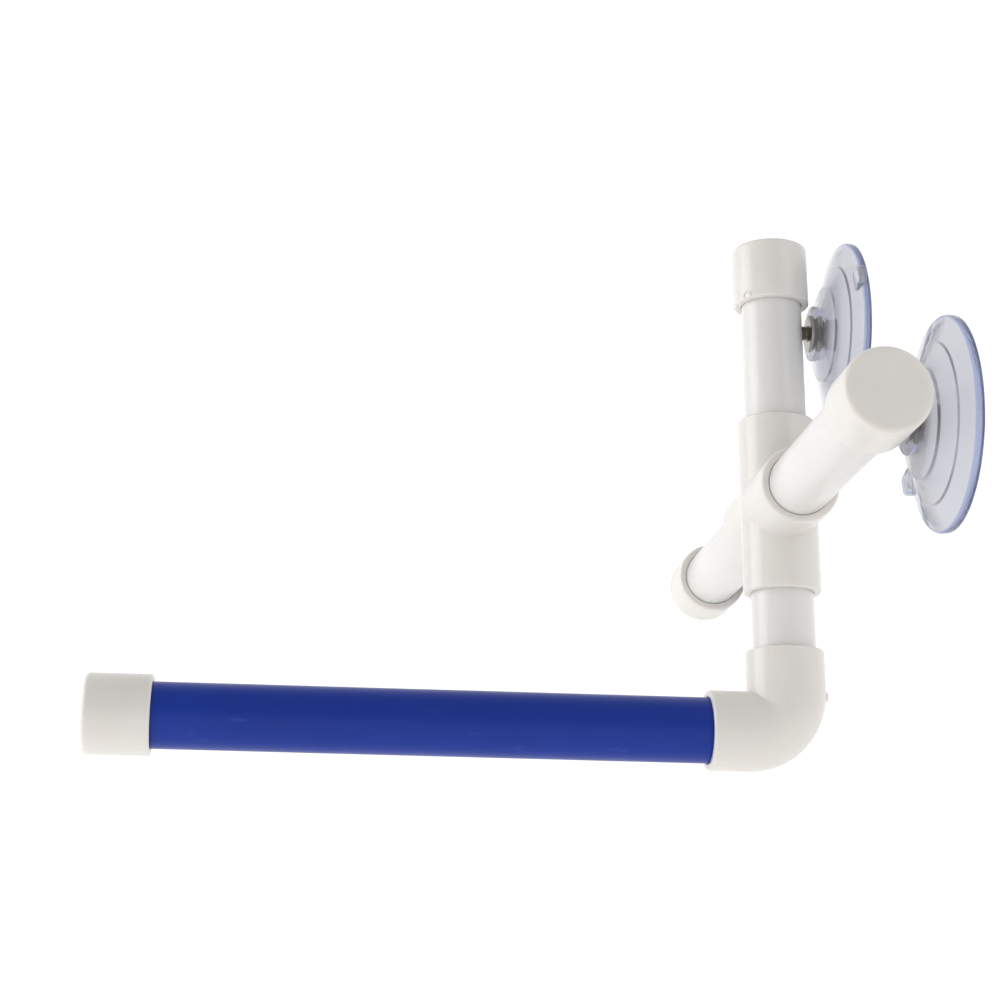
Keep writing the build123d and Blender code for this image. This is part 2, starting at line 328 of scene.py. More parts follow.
def makeClearPvc():
    # Plasticised PVC, injection moulded and glossy: a grey-lilac haze where it is thin, and a painted blue tint at
    # the rim that stands in for the light running along the sheet where it is seen edge-on. The body's index is
    # lower than real
    # PVC's, so that the pale backdrop shows through the cups, and the coat has the real 1.5. Ripples are 6 mm
    # apart.
    look = {"thin": "#d5d6dd", "rim": "#97a5d4", "depth": "#c8ccde", "density": 22.0, "haze": 0.14,
            "bend": 1.16, "rippleMm": 6.0, "rimMiddleMm": 30.85, "rimCoreMm": 0.3, "rimHalfMm": 0.75}
    finish, tree = newFinish("clearPvc")
    grain = addNode(tree, "ShaderNodeAttribute", attribute_name="grain").outputs["Vector"]
    across = addNode(tree, "ShaderNodeVectorMath", {0: grain, 1: (1, 1, 0)}, operation="MULTIPLY")
    radius = addNode(tree, "ShaderNodeVectorMath", {0: across.outputs[0]}, operation="LENGTH")
    offRim = addNode(tree, "ShaderNodeMath", {0: radius.outputs["Value"], 1: look["rimMiddleMm"]},
                     operation="SUBTRACT")
    fromRim = addNode(tree, "ShaderNodeMath", {0: offRim.outputs[0]}, operation="ABSOLUTE")
    # painted light: the band round the rim is tinted blue in the base colour to stand in for light running along
    # the sheet, not a dye in the plastic
    edge = addNode(tree, "ShaderNodeMapRange", {
        "Value": fromRim.outputs[0], "From Min": look["rimCoreMm"], "From Max": look["rimHalfMm"],
        "To Min": 1.0, "To Max": 0.0}, interpolation_type="SMOOTHSTEP")
    tintWithPaintedRim = addNode(tree, "ShaderNodeMix", {"Factor": edge.outputs[0], "A": linear(look["thin"]),
                                          "B": linear(look["rim"])}, data_type="RGBA")
    ripple = addNode(tree, "ShaderNodeTexNoise", {
        "Vector": grain, "Scale": 1 / look["rippleMm"], "Detail": 1.0})
    bump = addNode(tree, "ShaderNodeBump", {"Height": ripple.outputs[0], "Strength": 0.1, "Distance": 0.0002})
    shader = addNode(tree, "ShaderNodeBsdfPrincipled", {
        "Base Color": tintWithPaintedRim.outputs["Result"], "Roughness": look["haze"], "IOR": look["bend"],
        "Transmission Weight": 0.84, "Coat Weight": 0.5, "Coat Roughness": 0.04, "Coat IOR": 1.5,
        "Normal": bump.outputs[0]})
    volume = addNode(tree, "ShaderNodeVolumeAbsorption", {"Color": linear(look["depth"]),
                                                          "Density": look["density"]})
    closeFinish(tree, shader, volume)
    return finish


def makeZincPlate(name, bright, dull, roughness, lineMm):
    # Zinc-plated steel, rolled or stamped: grey metal, duller and slightly yellow in patches the size of lineMm
    finish, tree = newFinish(name)
    grain = addNode(tree, "ShaderNodeAttribute", attribute_name="grain").outputs["Vector"]
    marks = addNode(tree, "ShaderNodeTexNoise", {"Vector": grain, "Scale": 1 / lineMm, "Detail": 4.0})
    colour = addNode(tree, "ShaderNodeMix", {"Factor": marks.outputs[0], "A": linear(dull), "B": linear(bright)},
                     data_type="RGBA")
    gloss = addNode(tree, "ShaderNodeMapRange", {"Value": marks.outputs[0], "To Min": roughness - 0.08,
                                                 "To Max": roughness + 0.12})
    bump = addNode(tree, "ShaderNodeBump", {"Height": marks.outputs[0], "Strength": 0.15, "Distance": 0.00008})
    shader = addNode(tree, "ShaderNodeBsdfPrincipled", {
        "Base Color": colour.outputs["Result"], "Metallic": 1.0, "Roughness": gloss.outputs[0],
        "Normal": bump.outputs[0]})
    closeFinish(tree, shader)
    return finish


mouldedPvc = makeMouldedPvc()
extrudedPvc = makeExtrudedPvc()
shrunkPvcSleeve = makeShrunkPvcSleeve()
clearPvc = makeClearPvc()
platedSteel = makeZincPlate("zincPlatedSteel", "#b9b4ab", "#6f675c", 0.32, 0.5)
washerSteel = makeZincPlate("stampedZincPlatedSteel", "#cfcdc8", "#9d9a94", 0.3, 0.8)
print("finishes made")


def tubeTree():
    # a tube with rounded ends, swept round its axis, whose skin may wave in and out a little
    tree = bpy.data.node_groups.new("tubeGrower", "GeometryNodeTree")
    face = tree.interface
    face.new_socket("Geometry", in_out="OUTPUT", socket_type="NodeSocketGeometry")
    for name, kind in (("Start", "Float"), ("End", "Float"), ("Inner Radius", "Float"), ("Outer Radius", "Float"),
                       ("Edge Round", "Float"), ("Sides", "Int"), ("Cuts", "Int"), ("Wave Height", "Float"),
                       ("Wave Length", "Float"), ("Seed", "Float")):
        face.new_socket(name, in_out="INPUT", socket_type="NodeSocket" + kind)
    face.new_socket("Finish", in_out="INPUT", socket_type="NodeSocketMaterial")
    given = addNode(tree, "NodeGroupInput").outputs
    wall = addNode(tree, "ShaderNodeMath", {0: given["Outer Radius"], 1: given["Inner Radius"]},
                   operation="SUBTRACT")
    length = addNode(tree, "ShaderNodeMath", {0: given["End"], 1: given["Start"]}, operation="SUBTRACT")
    both = addNode(tree, "ShaderNodeMath", {0: given["Outer Radius"], 1: given["Inner Radius"]}, operation="ADD")
    middle = addNode(tree, "ShaderNodeMath", {0: both.outputs[0], 1: 0.5}, operation="MULTIPLY")
    ends = addNode(tree, "ShaderNodeMath", {0: given["End"], 1: given["Start"]}, operation="ADD")
    height = addNode(tree, "ShaderNodeMath", {0: ends.outputs[0], 1: 0.5}, operation="MULTIPLY")
    section = addNode(tree, "GeometryNodeCurvePrimitiveQuadrilateral", {"Width": wall.outputs[0],
                                                                       "Height": length.outputs[0]})
    cut = addNode(tree, "GeometryNodeSubdivideCurve", {"Curve": section.outputs[0], "Cuts": given["Cuts"]})
    rounded = addNode(tree, "GeometryNodeFilletCurve", {"Curve": cut.outputs[0], "Radius": given["Edge Round"],
                                                        "Count": 3, "Limit Radius": True}, mode="POLY")
    ring = addNode(tree, "GeometryNodeCurvePrimitiveCircle", {"Resolution": given["Sides"],
                                                             "Radius": middle.outputs[0]})
    tube = addNode(tree, "GeometryNodeCurveToMesh", {
        "Curve": ring.outputs[0], "Profile Curve": rounded.outputs[0]})
    raised = addNode(tree, "ShaderNodeCombineXYZ", {"Z": height.outputs[0]})
    moved = addNode(tree, "GeometryNodeSetPosition", {"Geometry": tube.outputs[0], "Offset": raised.outputs[0]})
    place = addNode(tree, "GeometryNodeInputPosition")
    perWave = addNode(tree, "ShaderNodeMath", {0: 1.0, 1: given["Wave Length"]}, operation="DIVIDE")
    scaled = addNode(tree, "ShaderNodeVectorMath", {0: place.outputs[0], "Scale": perWave.outputs[0]},
                     operation="SCALE")
    noise = addNode(tree, "ShaderNodeTexNoise", {"Vector": scaled.outputs[0], "W": given["Seed"], "Scale": 1.0,
                                                 "Detail": 1.0}, noise_dimensions="4D")
    centred = addNode(tree, "ShaderNodeMath", {0: noise.outputs[0], 1: 0.5}, operation="SUBTRACT")
    lift = addNode(tree, "ShaderNodeMath", {0: centred.outputs[0], 1: given["Wave Height"]}, operation="MULTIPLY")
    flat = addNode(tree, "ShaderNodeVectorMath", {0: place.outputs[0], 1: (1, 1, 0)}, operation="MULTIPLY")
    outward = addNode(tree, "ShaderNodeVectorMath", {0: flat.outputs[0]}, operation="NORMALIZE")
    push = addNode(tree, "ShaderNodeVectorMath", {0: outward.outputs[0], "Scale": lift.outputs[0]},
                   operation="SCALE")
    waved = addNode(tree, "GeometryNodeSetPosition", {"Geometry": moved.outputs[0], "Offset": push.outputs[0]})
    whole = addNode(tree, "GeometryNodeRealizeInstances", {"Geometry": waved.outputs[0]})
    painted = addNode(tree, "GeometryNodeSetMaterial", {"Geometry": whole.outputs[0],
                                                        "Material": given["Finish"]})
    addNode(tree, "NodeGroupOutput", {"Geometry": painted.outputs[0]})
    return tree


tubeGrower = tubeTree()


def tubeMesh(name, start, end, inner, outer, edgeRound, place, finish, cuts=0, waveHeight=0.0, waveLength=20.0,
             sides=160, seed=0.0):
    mesh = grownMesh(tubeGrower, {
        "Start": start * mm, "End": end * mm, "Inner Radius": inner * mm, "Outer Radius": outer * mm,
        "Edge Round": edgeRound * mm, "Sides": sides, "Cuts": cuts, "Wave Height": waveHeight * mm,
        "Wave Length": waveLength * mm, "Seed": seed, "Finish": finish}, name)
    keepGrain(mesh, 1 / mm)
    weldMesh(mesh, joinWithin * mm)
    mesh.transform(place @ Matrix.Scale(1 / mm, 4))
    smoothMesh(mesh, 50)
    return mesh


def rodMesh(name, radius, start, end, place, sides=48):
    outline = np.array(((0, start), (radius, start), (radius, end), (0, end)), float)
    rings = turnedRings(outline, sides)
    return meshFrom(name, [(rings, ringFaces(4, sides, False))], place)


upright = placeAlong(crossCentre, (0, 0, 1), (1, 0, 0))
downward = placeAlong(crossCentre, (0, 0, -1), (1, 0, 0))
leftward = placeAlong(crossCentre, (-1, 0, 0), (0, 0, 1))
rightward = placeAlong(crossCentre, (1, 0, 0), (0, 0, 1))
forward = placeAlong(elbowCentre, (0, -1, 0), (1, 0, 0))

pipes = {
    "edgeRound": 0.3,
    "screwHole": 2.8,   # its radius
    "drillFrom": 2.0,
    "list": (
        # node, body, start, end, place, height of the screw hole, or none
        ("upper_pipe", "upper_post", 14.8, 86.3, upright, upperMouth - cupInboard),
        ("left_arm_pipe", "left_arm", 14.8, 122.3, leftward, armMouth - cupInboard),
        ("right_arm_pipe", "right_arm", 14.8, 122.3, rightward, armMouth - cupInboard),
        ("lower_pipe", "hub", 14.8, 62.0, downward, None),
        ("perch_pipe", "perch_bar", 11.5, 216.2, forward, None),
    ),
}
for node, body, start, end, place, hole in pipes["list"]:
    mesh = tubeMesh(node + "Looks", start, end, boreRadius, pipeRadius, pipes["edgeRound"], place, extrudedPvc)
    if hole:
        spot = place @ Vector((0, 0, hole)) / mm
        drill = rodMesh("drill", pipes["screwHole"], pipes["drillFrom"], wallGap,
                        placeAlong(spot, (0, 1, 0), (1, 0, 0)))
        mesh = booleanMesh(mesh, drill, "DIFFERENCE")
        weldMesh(mesh, joinWithin * mm, outward=False)
        smoothMesh(mesh, 40)
    addPiece(node + "Looks", mesh, body, node, extrudedPvc)
print("pipes drawn")

sleeve = {"start": 25.25, "end": 199.95, "inner": 10.03, "wall": 0.25, "waveHeight": 0.07, "waveLength": 26.0,
          "cuts": 90, "seed": 3.0}
mesh = tubeMesh("perchSleeveLooks", sleeve["start"], sleeve["end"], sleeve["inner"],
                sleeve["inner"] + sleeve["wall"], 0.1, forward, shrunkPvcSleeve, cuts=sleeve["cuts"],
                waveHeight=sleeve["waveHeight"], waveLength=sleeve["waveLength"], seed=sleeve["seed"])
addPiece("perchSleeveLooks", mesh, "perch_bar", "perch_sleeve", shrunkPvcSleeve)
print("sleeve shrunk on")


fitting = {"bevel": 0.5, "edgeSoft": 0.18, "closeLeadIn": (0.18, 0.35), "sleeveLeadIn": (0.6, 1.2),
           "socketDepth": 14.5, "sides": 144}


def mouthOutline(reach, leadIn):
    # from the outside of a socket round its bevelled mouth and down the lead-in cone to the shoulder
    soft = fitting["edgeSoft"]
    flare, depth = fitting[leadIn]
    return roundedOutline((
        (fittingRadius, reach - 3.0, 0), (fittingRadius, reach - fitting["bevel"], soft),
        (fittingRadius - fitting["bevel"], reach, soft), (socketRadius + flare, reach, soft / 2),
        (socketRadius, reach - depth, soft / 2), (socketRadius, reach - fitting["socketDepth"], 0),
        (boreRadius, reach - fitting["socketDepth"], 0)), closed=False, steps=3)


crossSettings = {"reach": 29.0, "rows": 34, "rowEase": 1.7, "boreRows": 4, "creaseBlend": 0.5}


def crossMesh():
    # four sockets that meet on the 45 degree seams, each with its own bore
    sides = fitting["sides"]
    phi = np.arange(sides) * 2 * math.pi / sides
    mouth = mouthOutline(crossSettings["reach"], "closeLeadIn")
    outerEnd = mouth[0, 1]
    spread = np.linspace(0, 1, crossSettings["rows"]) ** crossSettings["rowEase"]  # crowded at the crease
    shells = []
    for arm, side in (((0, 0, 1), (1, 0, 0)), ((0, 0, -1), (1, 0, 0)), ((1, 0, 0), (0, 0, 1)),
                      ((-1, 0, 0), (0, 0, 1))):
        arm, side = np.array(arm, float), np.array(side, float)
        rings = []
        for t in spread[:-1]:
            seam = fittingRadius * np.abs(np.cos(phi))
            rings.append((np.full(sides, fittingRadius), seam + (outerEnd - seam) * t, True))
        for r, s in mouth:
            rings.append((np.full(sides, r), np.full(sides, s), False))
        for t in np.linspace(0.75, 0, crossSettings["boreRows"]):
            seam = boreRadius * np.abs(np.cos(phi))
            rings.append((np.full(sides, boreRadius), seam + (mouth[-1, 1] - seam) * t, False))
        points = []
        for r, s, blend in rings:
            ring = (np.outer(r * np.cos(phi), side) + np.outer(r * np.sin(phi), (0, 1, 0)) + np.outer(s, arm))
            points.append(softenCrease(ring) if blend else ring)
        shells.append((np.array(points), ringFaces(len(points), sides, False)))
    return meshFrom("crossLooks", shells, placeAlong(crossCentre, (0, 0, 1), (1, 0, 0)), 35)


def softenCrease(points):
    # moves points out to the surface where the two bores of the mould blend with a small round
    width = crossSettings["creaseBlend"]
    points = points.copy()
    for _ in range(6):
        x, y, z = points.T
        upRadius, sideRadius = np.hypot(x, y), np.hypot(z, y)
        a, b = upRadius - fittingRadius, sideRadius - fittingRadius
        near = np.clip(width - np.abs(a - b), 0, None) / width
        gap = np.minimum(a, b) - near ** 2 * width / 4
        weightA = np.where(a < b, 1 - near / 2, near / 2)
        gradA = np.stack((x / upRadius, y / upRadius, np.zeros_like(x)), 1)
        gradB = np.stack((np.zeros_like(x), y / sideRadius, z / sideRadius), 1)
        grad = gradA * weightA[:, None] + gradB * (1 - weightA)[:, None]
        points -= grad * (gap / np.sum(grad ** 2, 1))[:, None]
    return points


addPiece("crossLooks", crossMesh(), "hub", "cross_fitting", mouldedPvc)

elbowSettings = {"reach": 25.7, "bend": 12.8, "turnRows": 40, "legRows": 8, "innerRound": 0.35,
                 "creaseFrom": -9.5, "creaseTo": 1.0, "nubAt": 11.6, "nubProud": 1.0,
                 "nubLong": 3.6, "nubWide": 2.6}


def domeShell(width, length, height, steps=7, sides=28):
    # a half-round nub standing on the local xy plane, sunk a little into what carries it
    points = []
    for i in range(steps + 1):
        angle = math.pi / 2 * i / steps
        around = np.arange(sides) * 2 * math.pi / sides
        points.append(np.stack((width / 2 * math.cos(angle) ** 0.7 * np.cos(around),
                                length / 2 * math.cos(angle) ** 0.7 * np.sin(around),
                                np.full(sides, height * math.sin(angle))), 1))
    base = points[0].copy()
    base[:, 2] = -0.6
    foot = np.zeros_like(base)
    foot[:, 2] = -0.6
    rings = np.array([foot, base] + points)
    return rings, ringFaces(len(rings), sides, False)


def movedShell(shell, origin, along, across):
    z = np.array(along, float)
    z /= np.linalg.norm(z)
    x = np.array(across, float)
    x /= np.linalg.norm(x)
    y = np.cross(z, x)
    points = np.asarray(shell[0], float).reshape(-1, 3)
    return np.array(origin, float) + points @ np.array((x, y, z)), shell[1]


def elbowMesh():
    # two sockets joined by a bend, with the ejector's nub on the heel
    sides, bend = fitting["sides"], elbowSettings["bend"]
    phi = np.arange(sides) * 2 * math.pi / sides
    upperMouthOutline = mouthOutline(elbowSettings["reach"], "closeLeadIn")
    mouth = mouthOutline(elbowSettings["reach"], "sleeveLeadIn")
    rows = []

    def ring(radius, middle, outward):
        around = np.outer(np.cos(phi), (1, 0, 0)) + np.outer(np.sin(phi), outward)
        rows.append(np.array(middle) + radius * around)

    # outer skin: each lengthwise line turns with its own round, tight in the inner corner and wide at the heel
    side = fittingRadius * np.cos(phi)
    out = fittingRadius * np.sin(phi)
    creaseFrom, creaseTo = elbowSettings["creaseFrom"], elbowSettings["creaseTo"]
    share = np.clip((out - creaseFrom) / (creaseTo - creaseFrom), 0, 1)
    share = share * share * (3 - 2 * share)
    turnRound = elbowSettings["innerRound"] * (1 - share) + (bend + out) * share
    legEnd, legStart = mouth[0, 1], turnRound - out

    for r, s in upperMouthOutline[::-1]:
        ring(r, (0, 0, s), (0, 1, 0))
    for t in np.linspace(0, 1, elbowSettings["legRows"])[1:]:
        rows.append(np.stack((side, out, legEnd + (legStart - legEnd) * t), 1))
    for angle in np.radians(np.linspace(0, 90, elbowSettings["turnRows"]))[1:-1]:
        rows.append(np.stack((side, out - turnRound + turnRound * math.cos(angle),
                              turnRound - out - turnRound * math.sin(angle)), 1))
    for t in np.linspace(1, 0, elbowSettings["legRows"])[:-1]:
        rows.append(np.stack((side, -(legEnd + (legStart - legEnd) * t), -out), 1))
    for r, s in mouth:
        ring(r, (0, -s, 0), (0, 0, -1))
    for angle in np.radians(np.linspace(70, 20, 11)):
        outward = np.array((0, math.cos(angle), -math.sin(angle)))
        ring(boreRadius, np.array((0, -bend, bend)) + bend * outward, outward)
    nub = domeShell(elbowSettings["nubWide"], elbowSettings["nubLong"], elbowSettings["nubProud"])
    shells = [(np.array(rows), ringFaces(len(rows), sides, True)),
              movedShell(nub, (0, fittingRadius, elbowSettings["nubAt"]), (0, 1, 0), (1, 0, 0))]
    return meshFrom("elbowLooks", shells, placeAlong(elbowCentre, (0, 0, 1), (1, 0, 0)), 35)


addPiece("elbowLooks", elbowMesh(), "perch_elbow", "elbow_fitting", mouldedPvc)

capSettings = {"length": 20.8, "endWall": 2.8, "edgeRound": 1.6, "innerRound": 1.0, "loopWide": 3.0,
               "loopTall": 1.2, "loopFoot": 1.1, "loopWire": 0.22,
               "loopSides": 10}


def capMesh(name, place, loopAngle, leadIn):
    # a closed cap that opens downwards at height 0, with a half-round gate mark at loopAngle degrees
    look, soft = capSettings, fitting["edgeSoft"]
    flare, depth = fitting[leadIn]
    inside = look["length"] - look["endWall"]
    outline = roundedOutline((
        (0, look["length"], 0), (fittingRadius - 5, look["length"], 0), (fittingRadius, look["length"],
                                                                         look["edgeRound"]),
        (fittingRadius, fitting["bevel"], soft), (fittingRadius - fitting["bevel"], 0, soft),
        (socketRadius + flare, 0, soft / 2), (socketRadius, depth, soft / 2),
        (socketRadius, inside, look["innerRound"]), (0, inside, 0)), closed=False, steps=5)
    sides = fitting["sides"]
    shells = [(turnedRings(outline, sides), ringFaces(len(outline), sides, False))]
    wire = look["loopSides"]
    rows = []
    for t in np.linspace(-0.15, 1.15, 25):
        swing = math.pi * t
        around = math.radians(loopAngle) + look["loopWide"] / 2 * math.cos(swing) / fittingRadius
        height = look["loopFoot"] + look["loopTall"] * math.sin(swing)
        out = np.array((math.cos(around), math.sin(around), 0))
        side = np.array((-math.sin(around), math.cos(around), 0))
        along = np.array((0, 0, 1)) * math.cos(swing) * look["loopTall"] - side * math.sin(swing) * \
            look["loopWide"] / 2
        along /= np.linalg.norm(along)
        cross = np.cross(along, out)
        angle = np.arange(wire) * 2 * math.pi / wire
        rows.append(out * (fittingRadius - 0.05) + np.array((0, 0, height)) + look["loopWire"] * (
            np.outer(np.cos(angle), out) + np.outer(np.sin(angle), cross)))
    rows.insert(0, np.repeat(rows[0].mean(0)[None], wire, 0))
    rows.append(np.repeat(rows[-1].mean(0)[None], wire, 0))
    shells.append((np.array(rows), ringFaces(len(rows), wire, False)))
    return meshFrom(name, shells, place, 35)


def capPlace(place, mouth):
    return place @ Matrix.Translation((0, 0, mouth))


for node, body, place, loopAngle in (
        ("top_cap", "upper_post", capPlace(upright, upperMouth), -52),
        ("left_cap", "left_arm", capPlace(leftward, armMouth), 160),
        ("right_cap", "right_arm", capPlace(rightward, armMouth), -60),
        ("perch_cap", "perch_bar", capPlace(forward, perchMouth), 150)):
    leadIn = "sleeveLeadIn" if node == "perch_cap" else "closeLeadIn"
    addPiece(node + "Looks", capMesh(node + "Looks", place, loopAngle, leadIn), body, node,
             mouldedPvc)
print("fittings moulded")


cup = {"radius": 31.0, "land": 1.6, "rimThick": 2.3, "rimRound": 0.8, "outerStep": (23.4, 5.1),
       "innerStep": (16.4, 8.3), "drop": 0.75, "neck": (7.6, 9.9), "flange": (9.4, 1.9, 0.5), "face": 12.25,
       "hollow": 6.0, "crownRows": 33, "sides": 192,
       "tabReach": 2.6, "tabRoot": 3.6, "tabWidth": 6.8, "tabCorner": 1.8,
       "tabLow": 1.5, "tabThick": 2.8}


def cupMesh(name, place, tabAngle):
    # a lathe-turned cup, hollow towards the wall, stepped outside, with a neck, a flange and a release tab
    look = cup
    edge = look["radius"] - look["land"]
    bow = (edge ** 2 + look["hollow"] ** 2) / (2 * look["hollow"])
    flangeRadius, flangeThick, flangeRound = look["flange"]
    (outerRadius, outerHeight), (innerRadius, innerHeight) = look["outerStep"], look["innerStep"]
    neckRadius, neckHeight = look["neck"]
    outside = roundedOutline((
        (edge, 0, 0), (look["radius"], 0, 0.4), (look["radius"], look["rimThick"], look["rimRound"]),
        (outerRadius, outerHeight - look["drop"], 0.35), (outerRadius - look["drop"] / 3, outerHeight, 0.3),
        (innerRadius, innerHeight - look["drop"], 0.35), (innerRadius - look["drop"] / 3, innerHeight, 0.3),
        (neckRadius, neckHeight, 0.8), (neckRadius, look["face"] - flangeThick, 0.4),
        (flangeRadius, look["face"] - flangeThick, flangeRound), (flangeRadius, look["face"], flangeRound),
        (0, look["face"], 0)), closed=False, steps=5)
    crown = [(r, look["hollow"] - bow + math.sqrt(bow ** 2 - r ** 2))
             for r in np.linspace(0, edge, look["crownRows"])[:-1]]
    outline = np.concatenate((np.array(crown), outside))
    sides = look["sides"]
    body = meshFrom(name, [(turnedRings(outline, sides), ringFaces(len(outline), sides, False))],
                    Matrix.Identity(4))
    # the release tab: a rounded tongue joined to the rim
    corners = roundedOutline((
        (look["radius"] - look["tabRoot"], -look["tabWidth"] / 2, 0),
        (look["radius"] + look["tabReach"], -look["tabWidth"] / 2, look["tabCorner"]),
        (look["radius"] + look["tabReach"], look["tabWidth"] / 2, look["tabCorner"]),
        (look["radius"] - look["tabRoot"], look["tabWidth"] / 2, 0)), closed=True, steps=8)
    middle = corners.mean(0)
    low, high = look["tabLow"], look["tabLow"] + look["tabThick"]
    # each layer of the tab is (share of its full outline, height)
    layers = ((0, low), (0.9, low), (0.97, low + 0.1), (1, low + 0.45), (1, high - 0.6), (0.96, high - 0.2),
              (0.86, high), (0, high))
    rings = np.array([[(*(middle + (p - middle) * grow), h) for p in corners] for grow, h in layers])
    turn = math.radians(tabAngle)
    spun = rings.copy()
    spun[..., 0] = rings[..., 0] * math.cos(turn) - rings[..., 1] * math.sin(turn)
    spun[..., 1] = rings[..., 0] * math.sin(turn) + rings[..., 1] * math.cos(turn)
    tab = meshFrom("tab", [(spun, ringFaces(len(layers), len(corners), False))], Matrix.Identity(4))
    mesh = booleanMesh(body, tab, "UNION")
    keepGrain(mesh, 1.0)
    mesh.transform(place)
    smoothMesh(mesh, 28)
    return mesh


def threadTree():
    # a rod with a helical thread: a cylinder whose side is pushed in by a triangle wave that climbs as it turns
    tree = bpy.data.node_groups.new("threadGrower", "GeometryNodeTree")
    face = tree.interface
    face.new_socket("Geometry", in_out="OUTPUT", socket_type="NodeSocketGeometry")
    for name in ("Radius", "Start", "End", "Pitch", "Depth", "Tip Chamfer"):
        face.new_socket(name, in_out="INPUT", socket_type="NodeSocketFloat")
    face.new_socket("Finish", in_out="INPUT", socket_type="NodeSocketMaterial")
    given = addNode(tree, "NodeGroupInput").outputs
    length = addNode(tree, "ShaderNodeMath", {0: given["End"], 1: given["Start"]}, operation="SUBTRACT")
    rod = addNode(tree, "GeometryNodeMeshCylinder", {"Vertices": 56, "Side Segments": 200, "Fill Segments": 3,
                                                    "Radius": given["Radius"], "Depth": length.outputs[0]},
                  fill_type="TRIANGLE_FAN")
    ends = addNode(tree, "ShaderNodeMath", {0: given["End"], 1: given["Start"]}, operation="ADD")
    half = addNode(tree, "ShaderNodeMath", {0: ends.outputs[0], 1: 0.5}, operation="MULTIPLY")
    raised = addNode(tree, "ShaderNodeCombineXYZ", {"Z": half.outputs[0]})
    moved = addNode(tree, "GeometryNodeSetPosition", {"Geometry": rod.outputs[0], "Offset": raised.outputs[0]})
    place = addNode(tree, "GeometryNodeInputPosition")
    parts = addNode(tree, "ShaderNodeSeparateXYZ", {0: place.outputs[0]})
    angle = addNode(tree, "ShaderNodeMath", {0: parts.outputs["Y"], 1: parts.outputs["X"]}, operation="ARCTAN2")
    turns = addNode(tree, "ShaderNodeMath", {0: angle.outputs[0], 1: 2 * math.pi}, operation="DIVIDE")
    climb = addNode(tree, "ShaderNodeMath", {0: parts.outputs["Z"], 1: given["Pitch"]}, operation="DIVIDE")
    phase = addNode(tree, "ShaderNodeMath", {0: climb.outputs[0], 1: turns.outputs[0]}, operation="SUBTRACT")
    wave = addNode(tree, "ShaderNodeMath", {0: phase.outputs[0], 1: 0.5}, operation="PINGPONG")
    groove = addNode(tree, "ShaderNodeMapRange", {"Value": wave.outputs[0], "From Min": 0.06, "From Max": 0.44,
                                                  "To Min": 0.0, "To Max": 1.0})
    depth = addNode(tree, "ShaderNodeMath", {0: groove.outputs[0], 1: given["Depth"]}, operation="MULTIPLY")
    left = addNode(tree, "ShaderNodeMath", {0: given["End"], 1: parts.outputs["Z"]}, operation="SUBTRACT")
    missing = addNode(tree, "ShaderNodeMath", {0: given["Tip Chamfer"], 1: left.outputs[0]}, operation="SUBTRACT")
    tip = addNode(tree, "ShaderNodeMath", {0: missing.outputs[0], 1: 0.0}, operation="MAXIMUM")
    inward = addNode(tree, "ShaderNodeMath", {0: depth.outputs[0], 1: tip.outputs[0]}, operation="MAXIMUM")
    flat = addNode(tree, "ShaderNodeVectorMath", {0: place.outputs[0], 1: (1, 1, 0)}, operation="MULTIPLY")
    reach = addNode(tree, "ShaderNodeVectorMath", {0: flat.outputs[0]}, operation="LENGTH")
    share = addNode(tree, "ShaderNodeMath", {0: reach.outputs["Value"], 1: given["Radius"]}, operation="DIVIDE")
    less = addNode(tree, "ShaderNodeMath", {0: inward.outputs[0], 1: share.outputs[0]}, operation="MULTIPLY")
    signed = addNode(tree, "ShaderNodeMath", {0: less.outputs[0], 1: -1.0}, operation="MULTIPLY")
    outward = addNode(tree, "ShaderNodeVectorMath", {0: flat.outputs[0]}, operation="NORMALIZE")
    push = addNode(tree, "ShaderNodeVectorMath", {0: outward.outputs[0], "Scale": signed.outputs[0]},
                   operation="SCALE")
    cut = addNode(tree, "GeometryNodeSetPosition", {"Geometry": moved.outputs[0], "Offset": push.outputs[0]})
    whole = addNode(tree, "GeometryNodeRealizeInstances", {"Geometry": cut.outputs[0]})
    painted = addNode(tree, "GeometryNodeSetMaterial", {"Geometry": whole.outputs[0],
                                                        "Material": given["Finish"]})
    addNode(tree, "NodeGroupOutput", {"Geometry": painted.outputs[0]})
    return tree


threadGrower = threadTree()
screw = {"radius": 2.5, "headRadius": 5.2, "headThick": 2.2, "headRound": 0.3, "headDepth": 2.6,
         "tipGap": 2.0, "tipChamfer": 0.6, "pitch": 0.8, "threadDepth": 0.42}
washer = {"radius": 6.2, "thick": 1.0, "hole": 2.65, "faceGap": 0.05, "edgeRound": 0.25}


def screwMesh(name, place):
    headTop = cup["face"] - screw["headDepth"]
    headLow = headTop - screw["headThick"]
    shank = grownMesh(threadGrower, {
        "Radius": screw["radius"] * mm, "Start": headTop * mm, "End": (wallGap - screw["tipGap"]) * mm,
        "Pitch": screw["pitch"] * mm, "Depth": screw["threadDepth"] * mm,
        "Tip Chamfer": screw["tipChamfer"] * mm, "Finish": platedSteel}, name)
    shank.transform(Matrix.Scale(1 / mm, 4))
    headRadius, headRound = screw["headRadius"], screw["headRound"]
    head = roundedOutline(((0, headLow, 0), (headRadius, headLow, headRound), (headRadius, headTop, headRound),
                           (0, headTop, 0)), closed=False, steps=4)
    shells = [(turnedRings(head, 72), ringFaces(len(head), 72, False)),
              (np.array([v.co[:] for v in shank.vertices]), [tuple(p.vertices) for p in shank.polygons])]
    return meshFrom(name, shells, place, 25)


def washerMesh(name, place):
    low = cup["face"] + washer["faceGap"]
    high = low + washer["thick"]
    outline = roundedOutline(((washer["hole"], low, 0.1), (washer["radius"], low, 0.12),
                              (washer["radius"], high, washer["edgeRound"]),
                              (washer["hole"], high, washer["edgeRound"])), closed=True, steps=4)
    return meshFrom(name, [(turnedRings(outline, 96), ringFaces(len(outline), 96, True))], place, 35)


